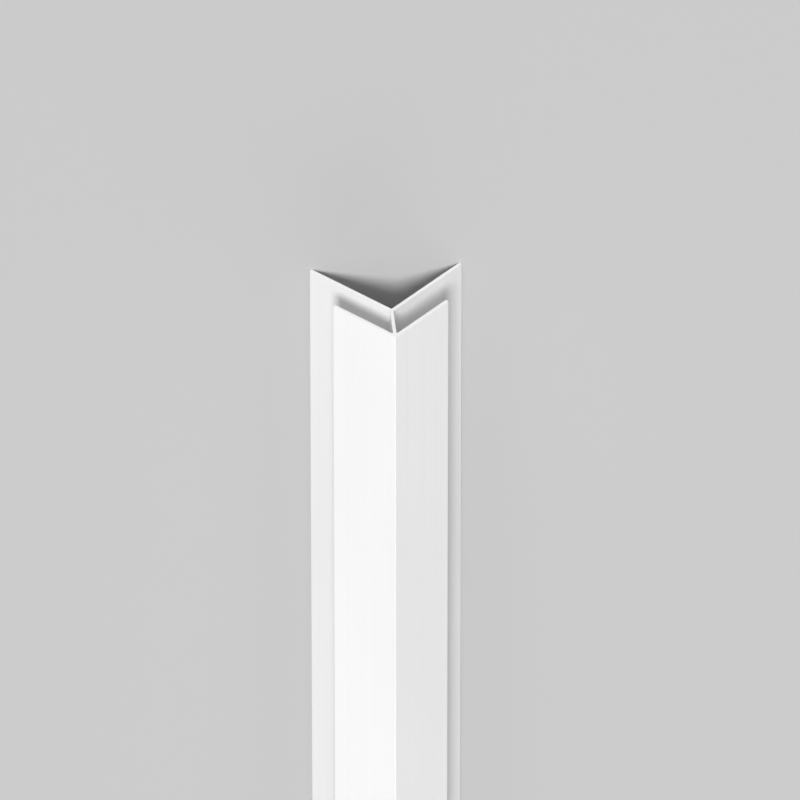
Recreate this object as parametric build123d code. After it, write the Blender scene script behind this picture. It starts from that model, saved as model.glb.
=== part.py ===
from build123d import *
from math import sqrt
import os

# White PVC outside-corner trim, extruded in one piece and sold as straight stock.
#
# The section holds a fixing flange, which is an angle that is hidden once the trim is fitted, a
# shorter cover angle that shows in the room, and a diagonal web that joins the two at their corners.
# Flange, web and cover leave a slot on each side, and the edge of a sheet slides into each slot.
#
# The stock lies on the two tips of its flange with the corner up. The frame has +X along the
# stock, +Z up, and its origin on the floor, below the corner and halfway along the stock.

# Length of the stock, sawn square at both ends.
stock_length = 2400.0

# Thickness that each slot takes, and the play that it leaves.
panel_thickness = 10.0
panel_clearance = 0.5

# Walls of the section.
flange_wall = 1.3
cover_wall = 1.4
web_wall = 1.3

# Legs of the two angles, measured on their outer faces from the corner to the tip.
flange_leg = 41.0
cover_leg = 31.0

# Roundings that the extrusion leaves: on the tips of the legs, on the cover's corner, in the
# flange's hollow corner, and at the roots of the web.
tip_radius = 0.3
cover_corner_radius = 0.3
wall_corner_radius = 0.2
root_radius = 0.3

# A tip's two roundings may take up at most this share of the wall that they finish.
widest_tip_rounding = 0.9

# Depths below the flange's fixing faces, out towards the room: the slot's two faces and the
# cover's face.
slot_back = flange_wall
slot_front = slot_back + panel_thickness + panel_clearance
cover_face = slot_front + cover_wall

# Reach of each leg's tip from the hollow corner, along the fixing face.
flange_reach = flange_leg - flange_wall
cover_reach = cover_leg - cover_face

# Distance along a leg from the middle of the web to its side.
web_offset = web_wall / sqrt(2)


def tip_rounding(wall):
    """Radius on the tip of a leg, held back where the wall is thin."""
    return min(tip_radius, widest_tip_rounding * wall / 2)


def tip_drop(reach, depth, wall):
    """How far the rounded tip of a leg hangs below the hollow corner once the corner points up."""
    radius = tip_rounding(wall)
    return (reach - depth - 2 * radius) / sqrt(2) + radius


def half_outline():
    """Corners of one half of the section with their radii, from the flange's tip to the cover's."""
    flange_rounding = tip_rounding(flange_wall)
    cover_rounding = tip_rounding(cover_wall)
    return [
        ((flange_reach, 0), flange_rounding),
        ((flange_reach, -slot_back), flange_rounding),
        ((web_offset - slot_back, -slot_back), root_radius),
        ((web_offset - slot_front, -slot_front), root_radius),
        ((cover_reach, -slot_front), cover_rounding),
        ((cover_reach, -cover_face), cover_rounding),
    ]


def section_face(plane):
    """The whole section on a plane: one half, the cover's corner, the half mirrored, the hollow corner."""
    half = half_outline()
    mirrored = [((v, u), radius) for (u, v), radius in reversed(half)]
    cover_corner = ((-cover_face, -cover_face), cover_corner_radius)
    wall_corner = ((0, 0), wall_corner_radius)
    outline = half + [cover_corner] + mirrored + [wall_corner]
    corners = [corner for corner, _ in outline]
    radii = [radius for _, radius in outline]
    with BuildSketch(plane) as section:
        with BuildLine():
            FilletPolyline(*corners, radius=radii, close=True)
        make_face()
    return section.sketch


def corner_trim():
    """The stock: the section drawn halfway along it and extruded to both ends."""
    corner_height = max(
        tip_drop(flange_reach, 0, flange_wall),
        tip_drop(cover_reach, slot_front, cover_wall),
    )
    across = Plane(origin=(0, 0, corner_height), x_dir=(0, 1, -1), z_dir=(-1, 0, 0))
    return extrude(section_face(across), amount=stock_length / 2, both=True)


os.makedirs("parts", exist_ok=True)
export_step(corner_trim(), "parts/corner_trim.step")
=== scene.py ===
"""Dresses the white PVC corner trim and sets it in a plain studio.

The trim is one extruded length, so it is one piece. Geometry Nodes draw its section from the sizes
below and sweep it along the stock. It wears two finishes: the extruded skin and the two sawn ends.
Everything is in metres, in the part's own frame: +X along the stock and +Z up.
"""

import logging
import math
from dataclasses import dataclass
from enum import Enum

import bpy
from mathutils import Matrix, Vector

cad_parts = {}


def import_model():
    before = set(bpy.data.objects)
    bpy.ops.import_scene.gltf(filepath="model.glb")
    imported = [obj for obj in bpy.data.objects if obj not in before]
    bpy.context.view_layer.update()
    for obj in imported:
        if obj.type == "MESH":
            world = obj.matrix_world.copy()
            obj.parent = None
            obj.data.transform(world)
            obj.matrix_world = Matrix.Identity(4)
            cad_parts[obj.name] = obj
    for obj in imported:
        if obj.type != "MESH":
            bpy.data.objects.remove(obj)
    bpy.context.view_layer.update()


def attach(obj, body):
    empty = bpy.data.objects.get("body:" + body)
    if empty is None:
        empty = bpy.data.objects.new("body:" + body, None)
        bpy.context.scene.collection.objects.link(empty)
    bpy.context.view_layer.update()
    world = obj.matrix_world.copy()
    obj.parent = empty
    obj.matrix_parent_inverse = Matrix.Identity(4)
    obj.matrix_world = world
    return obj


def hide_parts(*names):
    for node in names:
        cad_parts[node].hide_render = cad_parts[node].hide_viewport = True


LOG = logging.getLogger("corner_trim")
MM = 0.001

Colour = tuple[float, float, float, float]
Direction = tuple[float, float, float]
Socket = bpy.types.NodeSocket
Tree = bpy.types.NodeTree
Node = bpy.types.Node
Object = bpy.types.Object
Material = bpy.types.Material


class SocketKind(Enum):
    """What a tree's named inputs and outputs carry."""

    NUMBER = "NodeSocketFloat"
    COUNT = "NodeSocketInt"
    PLACE = "NodeSocketVector"
    SHAPE = "NodeSocketGeometry"
    FINISH = "NodeSocketMaterial"


@dataclass(frozen=True)
class Sheet:
    """A node tree and the few moves that every tree here is drawn with."""

    tree: Tree

    def add(self, kind: str, inputs: dict[str, object], **settings: object) -> Node:
        """Adds a node.

        Args:
            kind: Blender's name for the node.
            inputs: Values and sockets for its inputs, by the inputs' identifiers.
            **settings: Values for the node's own properties.

        Returns:
            The new node.
        """
        node = self.tree.nodes.new(kind)
        for name, value in settings.items():
            setattr(node, name, value)
        sockets = {socket.identifier: socket for socket in node.inputs}
        for name, value in inputs.items():
            if isinstance(value, Number):
                value = value.socket
            if isinstance(value, Socket):
                self.tree.links.new(value, sockets[name])
            else:
                sockets[name].default_value = value
        return node

    def first(self, kind: str, inputs: dict[str, object], **settings: object) -> Socket:
        """Adds a node and returns its first output that is in use."""
        node = self.add(kind, inputs, **settings)
        return next(socket for socket in node.outputs if socket.enabled)

    def number(self, socket: Socket) -> "Number":
        """Takes an output as a number that sums can be written with."""
        return Number(self, socket)

    def blend(self, low: "Colour | Socket", high: "Colour | Socket", share: "Number") -> Socket:
        """Mixes two colours.

        Args:
            low: The colour where the share is 0, or the socket that gives it.
            high: The colour where the share is 1, or the socket that gives it.
            share: How much of the second colour shows, from place to place.

        Returns:
            The mixed colour.
        """
        mixed = self.add(
            "ShaderNodeMix",
            {"Factor_Float": share, "A_Color": low, "B_Color": high},
            data_type="RGBA",
        )
        return next(socket for socket in mixed.outputs if socket.identifier == "Result_Color")


@dataclass(frozen=True)
class Number:
    """A number inside a tree."""

    sheet: Sheet
    socket: Socket

    def of(self, operation: str, *others: "Number | Socket | float") -> "Number":
        """Puts this number through a Math node.

        Args:
            operation: What the node does, in Blender's words.
            *others: The node's other inputs, in order.

        Returns:
            What the node puts out.
        """
        names = ("Value_001", "Value_002")
        inputs = {"Value": self.socket, **dict(zip(names, others))}
        return Number(self.sheet, self.sheet.first("ShaderNodeMath", inputs, operation=operation))

    def __add__(self, other: "Number | float") -> "Number":
        """Adds another number or a plain value."""
        return self.of("ADD", other)

    def __sub__(self, other: "Number | float") -> "Number":
        """Takes another number or a plain value away."""
        return self.of("SUBTRACT", other)

    def __mul__(self, other: "Number | float") -> "Number":
        """Multiplies by another number or a plain value."""
        return self.of("MULTIPLY", other)

    def __neg__(self) -> "Number":
        """Turns the number's sign round."""
        return self.of("MULTIPLY", -1.0)

    def between(self, low: float, high: float, to_low: float = 0.0, to_high: float = 1.0) -> "Number":
        """Stretches a range of this number over another range, and holds it there.

        Args:
            low: The value that becomes to_low.
            high: The value that becomes to_high.
            to_low: Start of the new range.
            to_high: End of the new range.

        Returns:
            The stretched number.
        """
        ranges = {"From Min": low, "From Max": high, "To Min": to_low, "To Max": to_high}
        inputs = {"Value": self.socket, **ranges}
        stretched = self.sheet.first("ShaderNodeMapRange", inputs, interpolation_type="SMOOTHSTEP")
        return Number(self.sheet, stretched)


class SurfaceEffects:
    """Shader groups that the skin and the sawn ends share, each built once."""

    # A noise keeps mostly to its usual range, and only its peaks reach the high one.
    usual_range: tuple[float, float] = (0.3, 0.7)
    high_range: tuple[float, float] = (0.60, 0.74)

    # Scale of the deep lines beside the even ones, so that they lie about three times as far apart.
    deep_line_scale: float = 0.31

    # The noise at which marks start, where their share is 0 and where it is 1.
    mark_starts: tuple[float, float] = (0.80, 0.50)
    mark_steepness: float = 9.0

    def __init__(self) -> None:
        """Builds the three groups."""
        self.lines = self._lines()
        self.clouds = self._clouds()
        self.marks = self._marks()

    def _group(self, name: str, sizes: dict[str, float]) -> tuple[Sheet, Node]:
        """Starts a group.

        Args:
            name: The group's name.
            sizes: Its inputs beside the place on the surface, each with a starting value.

        Returns:
            The group's sheet and the node that holds its inputs.
        """
        tree = bpy.data.node_groups.new(name, "ShaderNodeTree")
        tree.interface.new_socket("Place", in_out="INPUT", socket_type=SocketKind.PLACE.value)
        number = SocketKind.NUMBER.value
        for size, value in sizes.items():
            socket = tree.interface.new_socket(size, in_out="INPUT", socket_type=number)
            socket.default_value = value
        return Sheet(tree), tree.nodes.new("NodeGroupInput")

    def _finish(self, sheet: Sheet, outputs: dict[str, Number]) -> Tree:
        """Ends a group.

        Args:
            sheet: The group's sheet.
            outputs: Its outputs by name.

        Returns:
            The group's tree.
        """
        for name in outputs:
            sheet.tree.interface.new_socket(name, in_out="OUTPUT", socket_type=SocketKind.NUMBER.value)
        end = sheet.tree.nodes.new("NodeGroupOutput")
        for name, value in outputs.items():
            sheet.tree.links.new(value.socket, end.inputs[name])
        return sheet.tree

    def _scaled(self, sheet: Sheet, place: Socket, size: Socket) -> Socket:
        """Divides a place by a size, so that one unit of the result is one size long."""
        inputs = {"Vector": place, "Scale": sheet.number(size).of("POWER", -1.0)}
        return sheet.first("ShaderNodeVectorMath", inputs, operation="SCALE")

    def _noise(self, sheet: Sheet, place: Socket, **settings: float) -> Number:
        """Draws a noise over a place, with the noise's own settings."""
        return sheet.number(sheet.first("ShaderNodeTexNoise", {"Vector": place, **settings}))

    def _lines(self) -> Tree:
        """Draws lines that a tool drags along a surface: an even set, and a few deeper ones.

        Returns:
            The group's tree.
        """
        sheet, given = self._group("dragged_lines", {"Spacing": 2.0 * MM})
        place = self._scaled(sheet, given.outputs["Place"], given.outputs["Spacing"])
        even = self._noise(sheet, place, Scale=1.0, Detail=2.0)
        rare = self._noise(sheet, place, Scale=self.deep_line_scale, Detail=1.0)
        lines = even.between(*self.usual_range)
        deep_lines = rare.between(*self.high_range)
        return self._finish(sheet, {"Lines": lines, "Deep Lines": deep_lines})

    def _clouds(self) -> Tree:
        """Draws the slow clouding of the plastic's whiteness and gloss.

        Returns:
            The group's tree.
        """
        sheet, given = self._group("clouding", {"Size": 60.0 * MM})
        place = self._scaled(sheet, given.outputs["Place"], given.outputs["Size"])
        cloud = self._noise(sheet, place, Scale=1.0, Detail=3.0, Roughness=0.55)
        return self._finish(sheet, {"Clouds": cloud.between(*self.usual_range)})

    def _marks(self) -> Tree:
        """Draws sparse small marks, such as rubs and crumbs, as a mask.

        Returns:
            The group's tree.
        """
        sheet, given = self._group("handling_marks", {"Size": 3.0 * MM, "Share": 0.3})
        place = self._scaled(sheet, given.outputs["Place"], given.outputs["Size"])
        noise = self._noise(sheet, place, Scale=1.0, Detail=4.0, Roughness=0.6, Distortion=0.4)
        start = sheet.number(given.outputs["Share"]).between(0.0, 1.0, *self.mark_starts)
        steep = (noise - start) * self.mark_steepness
        return self._finish(sheet, {"Marks": steep.between(0.0, 1.0)})


@dataclass(frozen=True)
class Dressing:
    """A material that is being built, with its shader and the place on the surface."""

    sheet: Sheet
    shader: Node
    place: Socket

    @classmethod
    def started(cls, name: str, ior: float, specular: float) -> tuple[Material, "Dressing"]:
        """Starts a material.

        Args:
            name: The material's name.
            ior: The plastic's refractive index.
            specular: How strongly it mirrors, where 0.5 is what the index alone gives.

        Returns:
            The material and what it is built with.
        """
        material = bpy.data.materials.new(name)
        material.use_nodes = True
        sheet = Sheet(material.node_tree)
        shader = sheet.tree.nodes["Principled BSDF"]
        shader.inputs["IOR"].default_value = ior
        shader.inputs["Specular IOR Level"].default_value = specular
        place = sheet.add("ShaderNodeTexCoord", {}).outputs["Object"]
        return material, cls(sheet, shader, place)

    def stretched(self, along: float) -> Socket:
        """The place on the surface scaled along the stock, so that a pattern runs long there."""
        return self.sheet.first("ShaderNodeMapping", {"Vector": self.place, "Scale": (along, 1.0, 1.0)})

    def effect(self, group: Tree, place: Socket, **sizes: float) -> Node:
        """Puts a shared group into the material.

        Args:
            group: The group's tree.
            place: The place on the surface that its pattern follows.
            **sizes: Values for its other inputs, with underscores for spaces.

        Returns:
            The group's node.
        """
        node = self.sheet.add("ShaderNodeGroup", {}, node_tree=group)
        self.sheet.tree.links.new(place, node.inputs["Place"])
        for name, value in sizes.items():
            node.inputs[name.replace("_", " ")].default_value = value
        return node

    def mask(self, node: Node, output: str) -> Number:
        """One output of a shared group as a number."""
        return self.sheet.number(node.outputs[output])

    def wear(self, colour: Socket, roughness: Number) -> None:
        """Feeds the shader its colour and roughness."""
        self.sheet.tree.links.new(colour, self.shader.inputs["Base Color"])
        self.sheet.tree.links.new(roughness.socket, self.shader.inputs["Roughness"])

    def emboss(self, reliefs: list[tuple[Number, float]]) -> None:
        """Feeds the shader a chain of bumps.

        Args:
            reliefs: Each relief's height from 0 to 1, and its depth in metres.
        """
        below = None
        for height, depth in reliefs:
            inputs = {"Height": height, "Distance": depth, "Strength": 1.0}
            bump = self.sheet.add("ShaderNodeBump", inputs)
            if below is not None:
                self.sheet.tree.links.new(below.outputs["Normal"], bump.inputs["Normal"])
            below = bump
        self.sheet.tree.links.new(below.outputs["Normal"], self.shader.inputs["Normal"])


@dataclass(frozen=True)
class ExtrudedSkin:
    """Satin white PVC as it leaves the die, glossier on the cover's outer faces; the flange, web and
    slots are painted a shade darker, as painted shade under the cover.
    """

    cover_height: float
    cover_depth: float = 0.4 * MM
    cover_fade: float = 0.8 * MM

    # Colours of the cover's outer faces and of the rest, clean and clouded, and of a rub. The rest is
    # painted darker than the cover's faces, as painted shade on the flange, web and slots.
    white: Colour = (0.892, 0.892, 0.890, 1.0)
    clouded: Colour = (0.862, 0.863, 0.862, 1.0)
    shaded_rest_white: Colour = (0.822, 0.823, 0.822, 1.0)
    shaded_rest_clouded: Colour = (0.790, 0.791, 0.791, 1.0)
    rubbed: Colour = (0.760, 0.760, 0.758, 1.0)
    rub_strength: float = 0.25
    cloud_share: float = 0.7
    line_share: float = 0.3

    # Gloss: the skin's own roughness, and what each pattern adds to it or takes away.
    ior: float = 1.53
    specular: float = 0.25
    roughness: float = 0.36
    clouds_roughen: float = 0.07
    lines_roughen: float = 0.04
    deep_lines_roughen: float = 0.05
    rubs_roughen: float = 0.14
    cover_smooths: float = 0.08

    # Patterns: their size across the stock, their scale along it, how deep they are, and how much of
    # the skin the rubs cover, where 1 is the most.
    line_spacing: float = 2.4 * MM
    line_stretch: float = 0.004
    line_depth: float = 0.024 * MM
    deep_line_depth: float = 0.048 * MM
    wave_length: float = 45.0 * MM
    wave_stretch: float = 0.35
    wave_depth: float = 0.10 * MM
    rub_size: float = 2.2 * MM
    rub_stretch: float = 0.06
    rub_cover: float = 0.34

    def material(self, effects: SurfaceEffects) -> Material:
        """Builds the finish.

        Args:
            effects: The shared shader groups.

        Returns:
            The material.
        """
        material, dressing = Dressing.started("extruded_pvc", self.ior, self.specular)
        long_lines = dressing.stretched(self.line_stretch)
        dragged = dressing.effect(effects.lines, long_lines, Spacing=self.line_spacing)
        long_waves = dressing.stretched(self.wave_stretch)
        clouding = dressing.effect(effects.clouds, long_waves, Size=self.wave_length)
        long_rubs = dressing.stretched(self.rub_stretch)
        rubbing = dressing.effect(effects.marks, long_rubs, Size=self.rub_size, Share=self.rub_cover)
        lines = dressing.mask(dragged, "Lines")
        deep = dressing.mask(dragged, "Deep Lines")
        clouds = dressing.mask(clouding, "Clouds")
        rubs = dressing.mask(rubbing, "Marks")
        # The mask marks the cover's outer faces; everywhere else the colour is painted darker as
        # painted shade.
        unshaded_cover = self._cover_faces(dressing)
        sheet = dressing.sheet
        mottle = clouds * self.cloud_share + lines * self.line_share
        # plain is the painted-shade colour of the flange, web and slots, darker than the cover's faces.
        plain = sheet.blend(self.shaded_rest_white, self.shaded_rest_clouded, mottle)
        clean = sheet.blend(plain, sheet.blend(self.white, self.clouded, mottle), unshaded_cover)
        roughness = (
            clouds * self.clouds_roughen
            + lines * self.lines_roughen
            + deep * self.deep_lines_roughen
            + rubs * self.rubs_roughen
            - unshaded_cover * self.cover_smooths
            + self.roughness
        )
        dressing.wear(sheet.blend(clean, self.rubbed, rubs * self.rub_strength), roughness)
        reliefs = [(clouds, self.wave_depth), (lines, self.line_depth), (deep, self.deep_line_depth)]
        dressing.emboss(reliefs)
        return material

    def _cover_faces(self, dressing: Dressing) -> Number:
        """Masks the cover's outer faces, the only faces that the painted shade leaves out.

        Both slope down at 45 degrees from the cover's corner, so there the distance to the side and
        the height add up to the corner's height.

        Args:
            dressing: The material.

        Returns:
            A mask that fades out just under those faces.
        """
        parts = dressing.sheet.add("ShaderNodeSeparateXYZ", {"Vector": dressing.place})
        aside = dressing.sheet.number(parts.outputs["Y"]).of("ABSOLUTE")
        drop = -(aside + parts.outputs["Z"]) + self.cover_height
        return drop.between(self.cover_depth, self.cover_depth + self.cover_fade, 1.0, 0.0)


@dataclass(frozen=True)
class SawnEnd:
    """The cut across the stock: a rougher white with the blade's marks, painted paler than the skin as
    painted light that brightens the ends.
    """

    # Colours, clean and scored, and how much each pattern counts as scored.
    # The clean white is painted paler than the skin, as painted light on the two ends.
    white: Colour = (0.960, 0.960, 0.958, 1.0)
    scored: Colour = (0.900, 0.900, 0.897, 1.0)
    line_share: float = 0.5
    cloud_share: float = 0.2
    crumb_share: float = 0.3

    # Gloss: the cut's own roughness, and what each pattern adds to it.
    ior: float = 1.53
    specular: float = 0.25
    roughness: float = 0.45
    lines_roughen: float = 0.10
    clouds_roughen: float = 0.05
    crumbs_roughen: float = 0.08

    # Patterns: the blade's lines with their slant in degrees, clouding, and torn crumbs.
    line_spacing: float = 0.8 * MM
    line_stretch: float = 0.05
    line_depth: float = 0.04 * MM
    blade_slant: float = 20.0
    cloud_size: float = 6.0 * MM
    crumb_size: float = 0.8 * MM
    crumb_cover: float = 0.45

    def material(self, effects: SurfaceEffects) -> Material:
        """Builds the finish.

        Args:
            effects: The shared shader groups.

        Returns:
            The material.
        """
        material, dressing = Dressing.started("sawn_pvc", self.ior, self.specular)
        slant = {
            "Vector": dressing.place,
            "Rotation": (math.radians(self.blade_slant), 0.0, 0.0),
            "Scale": (1.0, 1.0, self.line_stretch),
        }
        turned = dressing.sheet.first("ShaderNodeMapping", slant)
        blade = dressing.effect(effects.lines, turned, Spacing=self.line_spacing)
        clouding = dressing.effect(effects.clouds, dressing.place, Size=self.cloud_size)
        crumbling = {"Size": self.crumb_size, "Share": self.crumb_cover}
        tearing = dressing.effect(effects.marks, dressing.place, **crumbling)
        lines = dressing.mask(blade, "Lines")
        clouds = dressing.mask(clouding, "Clouds")
        crumbs = dressing.mask(tearing, "Marks")
        shade = lines * self.line_share + clouds * self.cloud_share + crumbs * self.crumb_share
        roughness = (
            lines * self.lines_roughen
            + clouds * self.clouds_roughen
            + crumbs * self.crumbs_roughen
            + self.roughness
        )
        dressing.wear(dressing.sheet.blend(self.white, self.scored, shade), roughness)
        dressing.emboss([(lines, self.line_depth), (crumbs, self.line_depth)])
        return material


@dataclass(frozen=True)
class Corner:
    """One corner of the section inside the tree: its place from the hollow corner, and its rounding."""

    across: Number | float
    along: Number | float
    radius: Number

    def mirrored(self) -> "Corner":
        """The same corner on the other half of the section."""
        return Corner(self.along, self.across, self.radius)


@dataclass(frozen=True)
class CornerTrim:
    """The trim: a flange angle, a shorter cover angle and a diagonal web, extruded as one length."""

    # The stock and its section.
    stock_length: float = 2400.0 * MM
    flange_leg: float = 41.0 * MM
    cover_leg: float = 31.0 * MM
    flange_wall: float = 1.3 * MM
    cover_wall: float = 1.4 * MM
    web_wall: float = 1.3 * MM
    slot_width: float = 10.5 * MM
    tip_radius: float = 0.3 * MM
    cover_corner_radius: float = 0.3 * MM
    hollow_corner_radius: float = 0.2 * MM
    root_radius: float = 0.3 * MM

    # The mesh: faces round a corner, rows along the stock, the share of a normal that has to point
    # along the stock for a face to count as an end, and how flat large faces stay, out of 100.
    rounding_steps: int = 8
    rows: int = 48
    end_facing: float = 0.5
    flatness: int = 100

    # The broken edge of the saw cut. Only the edges round the two ends turn by more than its angle,
    # in degrees; the section's own roundings turn by less from face to face.
    saw_break: float = 0.08 * MM
    saw_break_steps: int = 2
    saw_break_angle: float = 60.0

    @property
    def corner_height(self) -> float:
        """Height of the hollow corner above the floor, on which the flange's rounded tips rest."""
        straight_reach = self.flange_leg - self.flange_wall - 2 * self.tip_radius
        return straight_reach * math.sqrt(0.5) + self.tip_radius

    @property
    def cover_height(self) -> float:
        """Height of the cover's corner above the floor, before it is rounded."""
        cover_face = self.flange_wall + self.slot_width + self.cover_wall
        return self.corner_height + cover_face * math.sqrt(2.0)

    def build(self, skin: Material, sawn: Material) -> Object:
        """Makes the trim and hands it to the frame.

        Args:
            skin: The finish of the extruded faces.
            sawn: The finish of the two ends.

        Returns:
            The finished piece.
        """
        maker = bpy.data.objects.new("trim_maker", bpy.data.meshes.new("trim_maker"))
        bpy.context.collection.objects.link(maker)
        self._sweep(maker, skin, sawn)
        self._break_edges(maker)
        graph = bpy.context.evaluated_depsgraph_get()
        mesh = bpy.data.meshes.new_from_object(maker.evaluated_get(graph), depsgraph=graph)
        bpy.data.objects.remove(maker)
        mesh.name = "extruded_trim"
        trim = bpy.data.objects.new("extruded_trim", mesh)
        bpy.context.collection.objects.link(trim)
        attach(trim, "root")
        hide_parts("corner_trim")
        return trim

    def _sweep(self, maker: Object, skin: Material, sawn: Material) -> None:
        """Gives an object the tree that makes the stock, with this trim's sizes in its inputs.

        Args:
            maker: The object.
            skin: The finish of the extruded faces.
            sawn: The finish of the two ends.
        """
        sizes = {
            "Stock Length": self.stock_length,
            "Flange Leg": self.flange_leg,
            "Cover Leg": self.cover_leg,
            "Flange Wall": self.flange_wall,
            "Cover Wall": self.cover_wall,
            "Web Wall": self.web_wall,
            "Slot Width": self.slot_width,
            "Tip Radius": self.tip_radius,
            "Cover Corner Radius": self.cover_corner_radius,
            "Hollow Corner Radius": self.hollow_corner_radius,
            "Root Radius": self.root_radius,
        }
        counts = {"Rounding Steps": self.rounding_steps, "Rows": self.rows}
        finishes = {"Skin": skin, "Sawn End": sawn}
        kinds = {
            **dict.fromkeys(sizes, SocketKind.NUMBER),
            **dict.fromkeys(counts, SocketKind.COUNT),
            **dict.fromkeys(finishes, SocketKind.FINISH),
        }
        modifier = maker.modifiers.new("extrusion", "NODES")
        modifier.node_group = self._tree(kinds)
        values = {**sizes, **counts, **finishes}
        for item in modifier.node_group.interface.items_tree:
            if item.in_out == "INPUT":
                modifier[item.identifier] = values[item.name]

    def _tree(self, kinds: dict[str, SocketKind]) -> Tree:
        """Builds the tree that draws the section and sweeps it along the stock.

        Args:
            kinds: The tree's inputs, each with what it carries.

        Returns:
            The tree.
        """
        tree = bpy.data.node_groups.new("extruded_stock", "GeometryNodeTree")
        for name, kind in kinds.items():
            tree.interface.new_socket(name, in_out="INPUT", socket_type=kind.value)
        tree.interface.new_socket("Stock", in_out="OUTPUT", socket_type=SocketKind.SHAPE.value)
        sheet = Sheet(tree)
        given = tree.nodes.new("NodeGroupInput").outputs
        section = self._standing(sheet, self._section(sheet, given))
        half = sheet.number(given["Stock Length"]) * 0.5
        rail = sheet.first(
            "GeometryNodeCurvePrimitiveLine",
            {
                "Start": sheet.first("ShaderNodeCombineXYZ", {"X": half}),
                "End": sheet.first("ShaderNodeCombineXYZ", {"X": -half}),
            },
        )
        stations = sheet.first("GeometryNodeResampleCurve", {"Curve": rail, "Count": given["Rows"]})
        sweep = {"Curve": stations, "Profile Curve": section, "Fill Caps": True}
        stock = sheet.first("GeometryNodeCurveToMesh", sweep)
        smooth = sheet.first("GeometryNodeSetShadeSmooth", {"Geometry": stock})
        real = sheet.first("GeometryNodeRealizeInstances", {"Geometry": smooth})
        dressed = sheet.first("GeometryNodeSetMaterial", {"Geometry": real, "Material": given["Skin"]})
        ends = {"Selection": self._faces_along(sheet), "Material": given["Sawn End"]}
        finished = sheet.first("GeometryNodeSetMaterial", {"Geometry": dressed, **ends})
        tree.links.new(finished, tree.nodes.new("NodeGroupOutput").inputs["Stock"])
        return tree

    def _section(self, sheet: Sheet, given: bpy.types.NodeOutputs) -> Socket:
        """Draws the section as a closed curve with its hollow corner on the origin.

        Args:
            sheet: The tree.
            given: The tree's inputs.

        Returns:
            The rounded outline.
        """
        size = {name: sheet.number(given[name]) for name in given.keys() if name}
        slot_back = size["Flange Wall"]
        slot_front = slot_back + size["Slot Width"]
        cover_face = slot_front + size["Cover Wall"]
        flange_reach = size["Flange Leg"] - slot_back
        cover_reach = size["Cover Leg"] - cover_face
        web_offset = size["Web Wall"] * math.sqrt(0.5)
        tip, root = size["Tip Radius"], size["Root Radius"]
        half = [
            Corner(0.0, flange_reach, tip),
            Corner(-slot_back, flange_reach, tip),
            Corner(-slot_back, web_offset - slot_back, root),
            Corner(-slot_front, web_offset - slot_front, root),
            Corner(-slot_front, cover_reach, tip),
            Corner(-cover_face, cover_reach, tip),
        ]
        cover_corner = Corner(-cover_face, -cover_face, size["Cover Corner Radius"])
        hollow_corner = Corner(0.0, 0.0, size["Hollow Corner Radius"])
        other_half = [corner.mirrored() for corner in reversed(half)]
        corners = [*half, cover_corner, *other_half, hollow_corner]
        return self._outline(sheet, corners, given["Rounding Steps"])

    def _outline(self, sheet: Sheet, corners: list[Corner], steps: Socket) -> Socket:
        """Draws a closed curve through corners and rounds each one.

        Args:
            sheet: The tree.
            corners: The corners, in order.
            steps: How many faces a rounding gets.

        Returns:
            The rounded outline.
        """
        spots = [{"X": corner.across, "Y": corner.along} for corner in corners]
        places = [sheet.first("ShaderNodeCombineXYZ", spot) for spot in spots]
        points = sheet.first("GeometryNodeMeshLine", {"Count": len(corners)})
        place = self._by_index(sheet, "VECTOR", places)
        placed = sheet.first("GeometryNodeSetPosition", {"Geometry": points, "Position": place})
        path = sheet.first("GeometryNodeMeshToCurve", {"Mesh": placed})
        closed = sheet.first("GeometryNodeSetSplineCyclic", {"Geometry": path, "Cyclic": True})
        rounding = sheet.add(
            "GeometryNodeFilletCurve",
            {"Curve": closed, "Count": steps, "Limit Radius": True},
            mode="POLY",
        )
        radius = self._by_index(sheet, "FLOAT", [corner.radius.socket for corner in corners])
        sheet.tree.links.new(radius, rounding.inputs["Radius"])
        return rounding.outputs["Curve"]

    def _by_index(self, sheet: Sheet, kind: str, values: list[Socket]) -> Socket:
        """Gives each point of a curve its own value.

        Args:
            sheet: The tree.
            kind: What the values are, in Blender's words.
            values: One value for each point, in order.

        Returns:
            The field of values.
        """
        switch = sheet.add("GeometryNodeIndexSwitch", {}, data_type=kind)
        while len(switch.index_switch_items) < len(values):
            switch.index_switch_items.new()
        index = sheet.first("GeometryNodeInputIndex", {})
        sheet.tree.links.new(index, switch.inputs["Index"])
        for number, value in enumerate(values):
            sheet.tree.links.new(value, switch.inputs[number + 1])
        return switch.outputs["Output"]

    def _standing(self, sheet: Sheet, section: Socket) -> Socket:
        """Turns the section corner up and lowers it until its flange tips touch the floor.

        A sweep along -X lays the curve's Y downwards, so down on the stock is up on the curve here.

        Args:
            sheet: The tree.
            section: The outline with its hollow corner on the origin.

        Returns:
            The outline in its place.
        """
        corner_up = (0.0, 0.0, math.radians(45.0))
        turned = sheet.first("GeometryNodeTransform", {"Geometry": section, "Rotation": corner_up})
        box = sheet.add("GeometryNodeBoundBox", {"Geometry": turned, "Use Radius": False})
        lowest = sheet.add("ShaderNodeSeparateXYZ", {"Vector": box.outputs["Max"]}).outputs["Y"]
        lift = sheet.first("ShaderNodeCombineXYZ", {"Y": -sheet.number(lowest)})
        return sheet.first("GeometryNodeTransform", {"Geometry": turned, "Translation": lift})

    def _faces_along(self, sheet: Sheet) -> Socket:
        """Picks the faces that look along the stock, which are its two ends.

        Args:
            sheet: The tree.

        Returns:
            The selection.
        """
        normal = sheet.add("GeometryNodeInputNormal", {})
        parts = sheet.add("ShaderNodeSeparateXYZ", {"Vector": normal.outputs["Normal"]})
        facing = sheet.number(parts.outputs["X"]).of("ABSOLUTE")
        limits = {"A": facing, "B": self.end_facing}
        return sheet.first("FunctionNodeCompare", limits, operation="GREATER_THAN")

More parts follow.
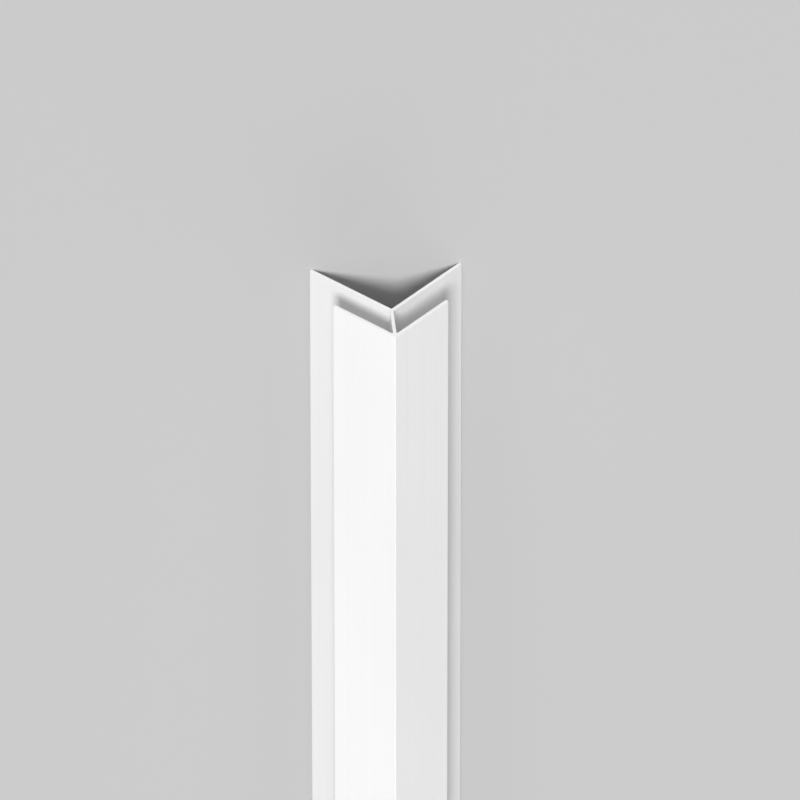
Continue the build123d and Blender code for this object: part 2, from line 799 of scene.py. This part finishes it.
    def _break_edges(self, maker: Object) -> None:
        """Takes the knife edge off the sawn ends, and keeps the flat faces flat beside the roundings.

        Args:
            maker: The object with the stock.
        """
        bevel = maker.modifiers.new("saw_break", "BEVEL")
        bevel.width = self.saw_break
        bevel.segments = self.saw_break_steps
        bevel.limit_method = "ANGLE"
        bevel.angle_limit = math.radians(self.saw_break_angle)
        bevel.use_clamp_overlap = False
        weighted = maker.modifiers.new("flat_faces", "WEIGHTED_NORMAL")
        weighted.weight = self.flatness
        weighted.keep_sharp = False


@dataclass(frozen=True)
class PaleFloor:
    """A plain matte floor that runs past every view."""

    side: float = 120.0
    grey: float = 0.49
    roughness: float = 0.9
    specular: float = 0.2

    def build(self) -> Object:
        """Lays the floor.

        Returns:
            The floor, marked as stage.
        """
        half = self.side / 2
        corners = [(-half, -half, 0.0), (half, -half, 0.0), (half, half, 0.0), (-half, half, 0.0)]
        mesh = bpy.data.meshes.new("floor")
        mesh.from_pydata(corners, [], [(0, 1, 2, 3)])
        material = bpy.data.materials.new("pale_floor")
        material.use_nodes = True
        shader = material.node_tree.nodes["Principled BSDF"]
        shader.inputs["Base Color"].default_value = (self.grey, self.grey, self.grey, 1.0)
        shader.inputs["Roughness"].default_value = self.roughness
        shader.inputs["Specular IOR Level"].default_value = self.specular
        mesh.materials.append(material)
        floor = bpy.data.objects.new("floor", mesh)
        bpy.context.collection.objects.link(floor)
        return floor


@dataclass(frozen=True)
class StudioLight:
    """Soft light: an even surround, a key overhead and a low light at each end.

    A spread is how wide a light looks from the trim, in degrees.
    """

    surround: float = 0.24
    backdrop: float = 0.60
    key: float = 2.82
    key_spread: float = 18.0
    towards_key: Direction = (0.34, 0.15, 1.0)
    near_light: float = 1.25
    towards_near_light: Direction = (1.0, 0.20, 0.10)
    far_light: float = 0.80
    towards_far_light: Direction = (-1.0, -0.26, 0.22)
    end_spread: float = 60.0
    height: float = 3.0

    def build(self) -> None:
        """Hangs the lights and colours the surround."""
        self._distant_light("key", self.towards_key, self.key, self.key_spread)
        self._distant_light("near_end_light", self.towards_near_light, self.near_light, self.end_spread)
        self._distant_light("far_end_light", self.towards_far_light, self.far_light, self.end_spread)
        self._surround()

    def _distant_light(
        self, name: str, towards: Direction, strength: float, spread: float
    ) -> None:
        """Hangs a distant light.

        Args:
            name: The light's name.
            towards: The direction in which the light stands.
            strength: Its strength.
            spread: How wide it looks from the trim, in degrees.
        """
        light = bpy.data.lights.new(name, "SUN")
        light.energy = strength
        light.angle = math.radians(spread)
        direction = Vector(towards).normalized()
        holder = bpy.data.objects.new(name, light)
        holder.location = direction * self.height
        holder.rotation_mode = "QUATERNION"
        holder.rotation_quaternion = (-direction).to_track_quat("-Z", "Y")
        bpy.context.collection.objects.link(holder)

    def _surround(self) -> None:
        """Lights the scene evenly from all round, with a pale backdrop behind it."""
        world = bpy.data.worlds.new("surround")
        world.use_nodes = True
        bpy.context.scene.world = world
        sheet = Sheet(world.node_tree)
        path = sheet.add("ShaderNodeLightPath", {})
        seen = sheet.number(path.outputs["Is Camera Ray"])
        seen = seen.of("MAXIMUM", path.outputs["Is Glossy Ray"])
        seen = seen.of("MAXIMUM", path.outputs["Is Transmission Ray"])
        strength = seen * (self.backdrop - self.surround) + self.surround
        sheet.tree.links.new(strength.socket, sheet.tree.nodes["Background"].inputs["Strength"])
        sheet.tree.nodes["Background"].inputs["Color"].default_value = (1.0, 1.0, 1.0, 1.0)


@dataclass(frozen=True)
class LongLens:
    """The camera: a long lens that looks down on the open end, placed from the trim's hollow corner."""

    # Lens and sensor in millimetres, tilt and swing in degrees, the rest in metres.
    lens: float = 606.77
    sensor: float = 36.0
    tilt: float = 35.992
    swing: float = 4.595
    distance: float = 5.08502
    aside: float = 0.00320
    below: float = 0.03439
    nearest: float = 0.1
    farthest: float = 200.0

    def build(self, hollow_corner: Vector) -> Object:
        """Sets up the camera.

        Args:
            hollow_corner: The flange's hollow corner, at the stock's near end.

        Returns:
            The camera.
        """
        tilt, swing = math.radians(self.tilt), math.radians(self.swing)
        right = Vector((0.0, -math.cos(swing), math.sin(swing)))
        ahead = Vector(
            (-math.sin(tilt), -math.cos(tilt) * math.sin(swing), -math.cos(tilt) * math.cos(swing))
        )
        up = right.cross(ahead)
        place = hollow_corner + right * self.aside - up * self.below - ahead * self.distance
        data = bpy.data.cameras.new("long_lens")
        data.lens = self.lens
        data.sensor_width = self.sensor
        data.clip_start = self.nearest
        data.clip_end = self.farthest
        camera = bpy.data.objects.new("long_lens", data)
        axes = Matrix((right, up, -ahead)).transposed()
        camera.matrix_world = Matrix.Translation(place) @ axes.to_4x4()
        bpy.context.collection.objects.link(camera)
        bpy.context.scene.camera = camera
        return camera


def report(piece: Object) -> None:
    """Logs a piece's name, faces and size in millimetres."""
    spans = ", ".join(f"{span / MM:.2f}" for span in piece.dimensions)
    LOG.info("%s: %d faces, %s mm", piece.name, len(piece.data.polygons), spans)


def main() -> None:
    """Builds the trim, the studio and the camera."""
    logging.basicConfig(level=logging.INFO, format="%(name)s: %(message)s")
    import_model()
    effects = SurfaceEffects()
    trim = CornerTrim()
    skin = ExtrudedSkin(trim.cover_height).material(effects)
    sawn = SawnEnd().material(effects)
    report(trim.build(skin, sawn))
    report(PaleFloor().build())
    StudioLight().build()
    camera = LongLens().build(Vector((trim.stock_length / 2, 0.0, trim.corner_height)))
    LOG.info("%s stands %.2f m away", camera.name, camera.location.length)
    bpy.context.scene.view_settings.view_transform = "Standard"
    bpy.context.view_layer.update()


if __name__ == "__main__":
    main()
